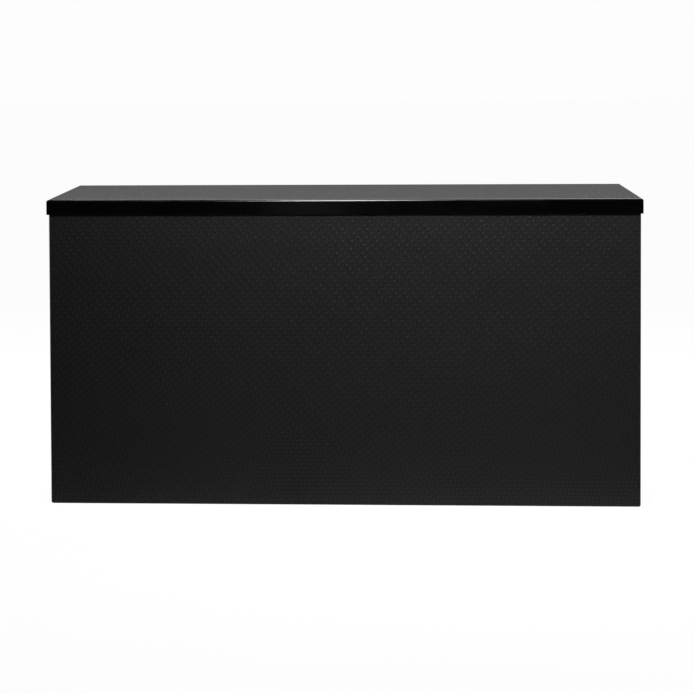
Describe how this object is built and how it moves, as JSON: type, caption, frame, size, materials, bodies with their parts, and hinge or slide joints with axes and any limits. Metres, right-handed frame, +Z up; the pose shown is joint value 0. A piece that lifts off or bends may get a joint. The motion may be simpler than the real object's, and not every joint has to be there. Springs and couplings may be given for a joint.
{
  "type": "truck tool box",
  "caption": "Sheet-steel chest for a truck bed: embossed body, full-width cap lid on a rear hinge, gas springs inside and a paddle latch in each end wall.",
  "frame": {"origin": "centre of the flat underside of the floor", "axes": "+X along the long side, +Y from the front (opening) side to the hinge side, +Z up"},
  "size_m": [1.2282, 0.6214, 0.635],
  "materials": {
    "body_paint": "black powder coat over embossed sheet, semi-gloss",
    "lid_paint": "gloss black powder coat",
    "stainless": "brushed stainless",
    "zinc": "bright zinc plate",
    "chrome": "polished",
    "spring_paint": "black lacquer",
    "rubber": "matt",
    "plastic": "moulded"
  },
  "bodies": {
    "body": {"body_wrap": "body_paint", "end_panel_left": "body_paint", "end_panel_right": "body_paint", "rim_seal": "rubber", "hinge_leaf_body": "zinc", "hinge_pin": "zinc", "spring_wall_plate_left": "zinc", "spring_wall_stud_left": "zinc", "latch_gasket_left": "rubber", "latch_dish_left": "stainless", "latch_paddle_pin_left": "zinc", "latch_case_left": "zinc", "latch_bolt_spring_left": "zinc", "dish_rivet_left_1": "zinc", "dish_rivet_left_2": "zinc", "dish_rivet_left_3": "zinc", "dish_rivet_left_4": "zinc", "spring_wall_plate_right": "zinc", "spring_wall_stud_right": "zinc", "latch_gasket_right": "rubber", "latch_dish_right": "stainless", "latch_paddle_pin_right": "zinc", "latch_case_right": "zinc", "latch_bolt_spring_right": "zinc", "dish_rivet_right_1": "zinc", "dish_rivet_right_2": "zinc", "dish_rivet_right_3": "zinc", "dish_rivet_right_4": "zinc"},
    "lid": {"lid_skin": "lid_paint", "lid_stiffener_front": "lid_paint", "lid_stiffener_rear": "lid_paint", "hinge_leaf_lid": "zinc", "spring_lid_bracket_left": "zinc", "spring_lid_stud_left": "zinc", "lid_catch_left": "zinc", "spring_lid_bracket_right": "zinc", "spring_lid_stud_right": "zinc", "lid_catch_right": "zinc"},
    "spring_tube_left": {"spring_tube_left": "spring_paint", "spring_tube_eye_left": "plastic"},
    "spring_rod_left": {"spring_rod_left": "chrome", "spring_rod_eye_left": "plastic", "spring_piston_left": "plastic"},
    "paddle_left": {"latch_paddle_left": "stainless"},
    "lock_left": {"latch_lock_cylinder_left": "chrome", "latch_lock_cam_left": "zinc"},
    "bolt_left": {"latch_bolt_left": "stainless", "latch_guide_rod_left": "zinc"},
    "spring_tube_right": {"spring_tube_right": "spring_paint", "spring_tube_eye_right": "plastic"},
    "spring_rod_right": {"spring_rod_right": "chrome", "spring_rod_eye_right": "plastic", "spring_piston_right": "plastic"},
    "paddle_right": {"latch_paddle_right": "stainless"},
    "lock_right": {"latch_lock_cylinder_right": "chrome", "latch_lock_cam_right": "zinc"},
    "bolt_right": {"latch_bolt_right": "stainless", "latch_guide_rod_right": "zinc"}
  },
  "joints": [
    {"name": "lid_hinge", "type": "hinge", "parent": "body", "child": "lid", "pos_m": [0, 0.3086, 0.5985], "axis": [-1, 0, 0], "range_deg": [0, 80]},
    {"name": "spring_tube_pivot_left", "type": "hinge", "parent": "body", "child": "spring_tube_left", "pos_m": [-0.5646, 0.22893, 0.30927], "axis": [-1, 0, 0], "range_deg": [0, 40]},
    {"name": "spring_rod_pivot_left", "type": "hinge", "parent": "lid", "child": "spring_rod_left", "pos_m": [-0.5646, 0.00863, 0.594], "axis": [-1, 0, 0], "range_deg": [-40, 0]},
    {"name": "paddle_pull_left", "type": "hinge", "parent": "body", "child": "paddle_left", "pos_m": [-0.6026, -0.21, 0.5315], "axis": [0, 0, 1], "range_deg": [0, 30]},
    {"name": "lock_turn_left", "type": "hinge", "parent": "paddle_left", "child": "lock_left", "pos_m": [-0.6096, -0.158, 0.5315], "axis": [-1, 0, 0], "range_deg": [0, 90]},
    {"name": "bolt_slide_left", "type": "slide", "parent": "body", "child": "bolt_left", "axis": [0, 1, 0], "range_m": [0, 0.012], "deforming": ["latch_bolt_spring_left"]},
    {"name": "spring_tube_pivot_right", "type": "hinge", "parent": "body", "child": "spring_tube_right", "pos_m": [0.5646, 0.22893, 0.30927], "axis": [-1, 0, 0], "range_deg": [0, 40]},
    {"name": "spring_rod_pivot_right", "type": "hinge", "parent": "lid", "child": "spring_rod_right", "pos_m": [0.5646, 0.00863, 0.594], "axis": [-1, 0, 0], "range_deg": [-40, 0]},
    {"name": "paddle_pull_right", "type": "hinge", "parent": "body", "child": "paddle_right", "pos_m": [0.6026, -0.21, 0.5315], "axis": [0, 0, -1], "range_deg": [0, 30]},
    {"name": "lock_turn_right", "type": "hinge", "parent": "paddle_right", "child": "lock_right", "pos_m": [0.6096, -0.158, 0.5315], "axis": [1, 0, 0], "range_deg": [0, 90]},
    {"name": "bolt_slide_right", "type": "slide", "parent": "body", "child": "bolt_right", "axis": [0, 1, 0], "range_m": [0, 0.012], "deforming": ["latch_bolt_spring_right"]}
  ],
  "couplings": [
    {"joint": "spring_tube_pivot_left", "follows": "lid_hinge", "ratio": 0.5},
    {"joint": "spring_rod_pivot_left", "follows": "lid_hinge", "ratio": -0.5},
    {"joint": "bolt_slide_left", "follows": "paddle_pull_left", "m_per_rad": 0.022917},
    {"joint": "spring_tube_pivot_right", "follows": "lid_hinge", "ratio": 0.5},
    {"joint": "spring_rod_pivot_right", "follows": "lid_hinge", "ratio": -0.5},
    {"joint": "bolt_slide_right", "follows": "paddle_pull_right", "m_per_rad": 0.022917}
  ]
}
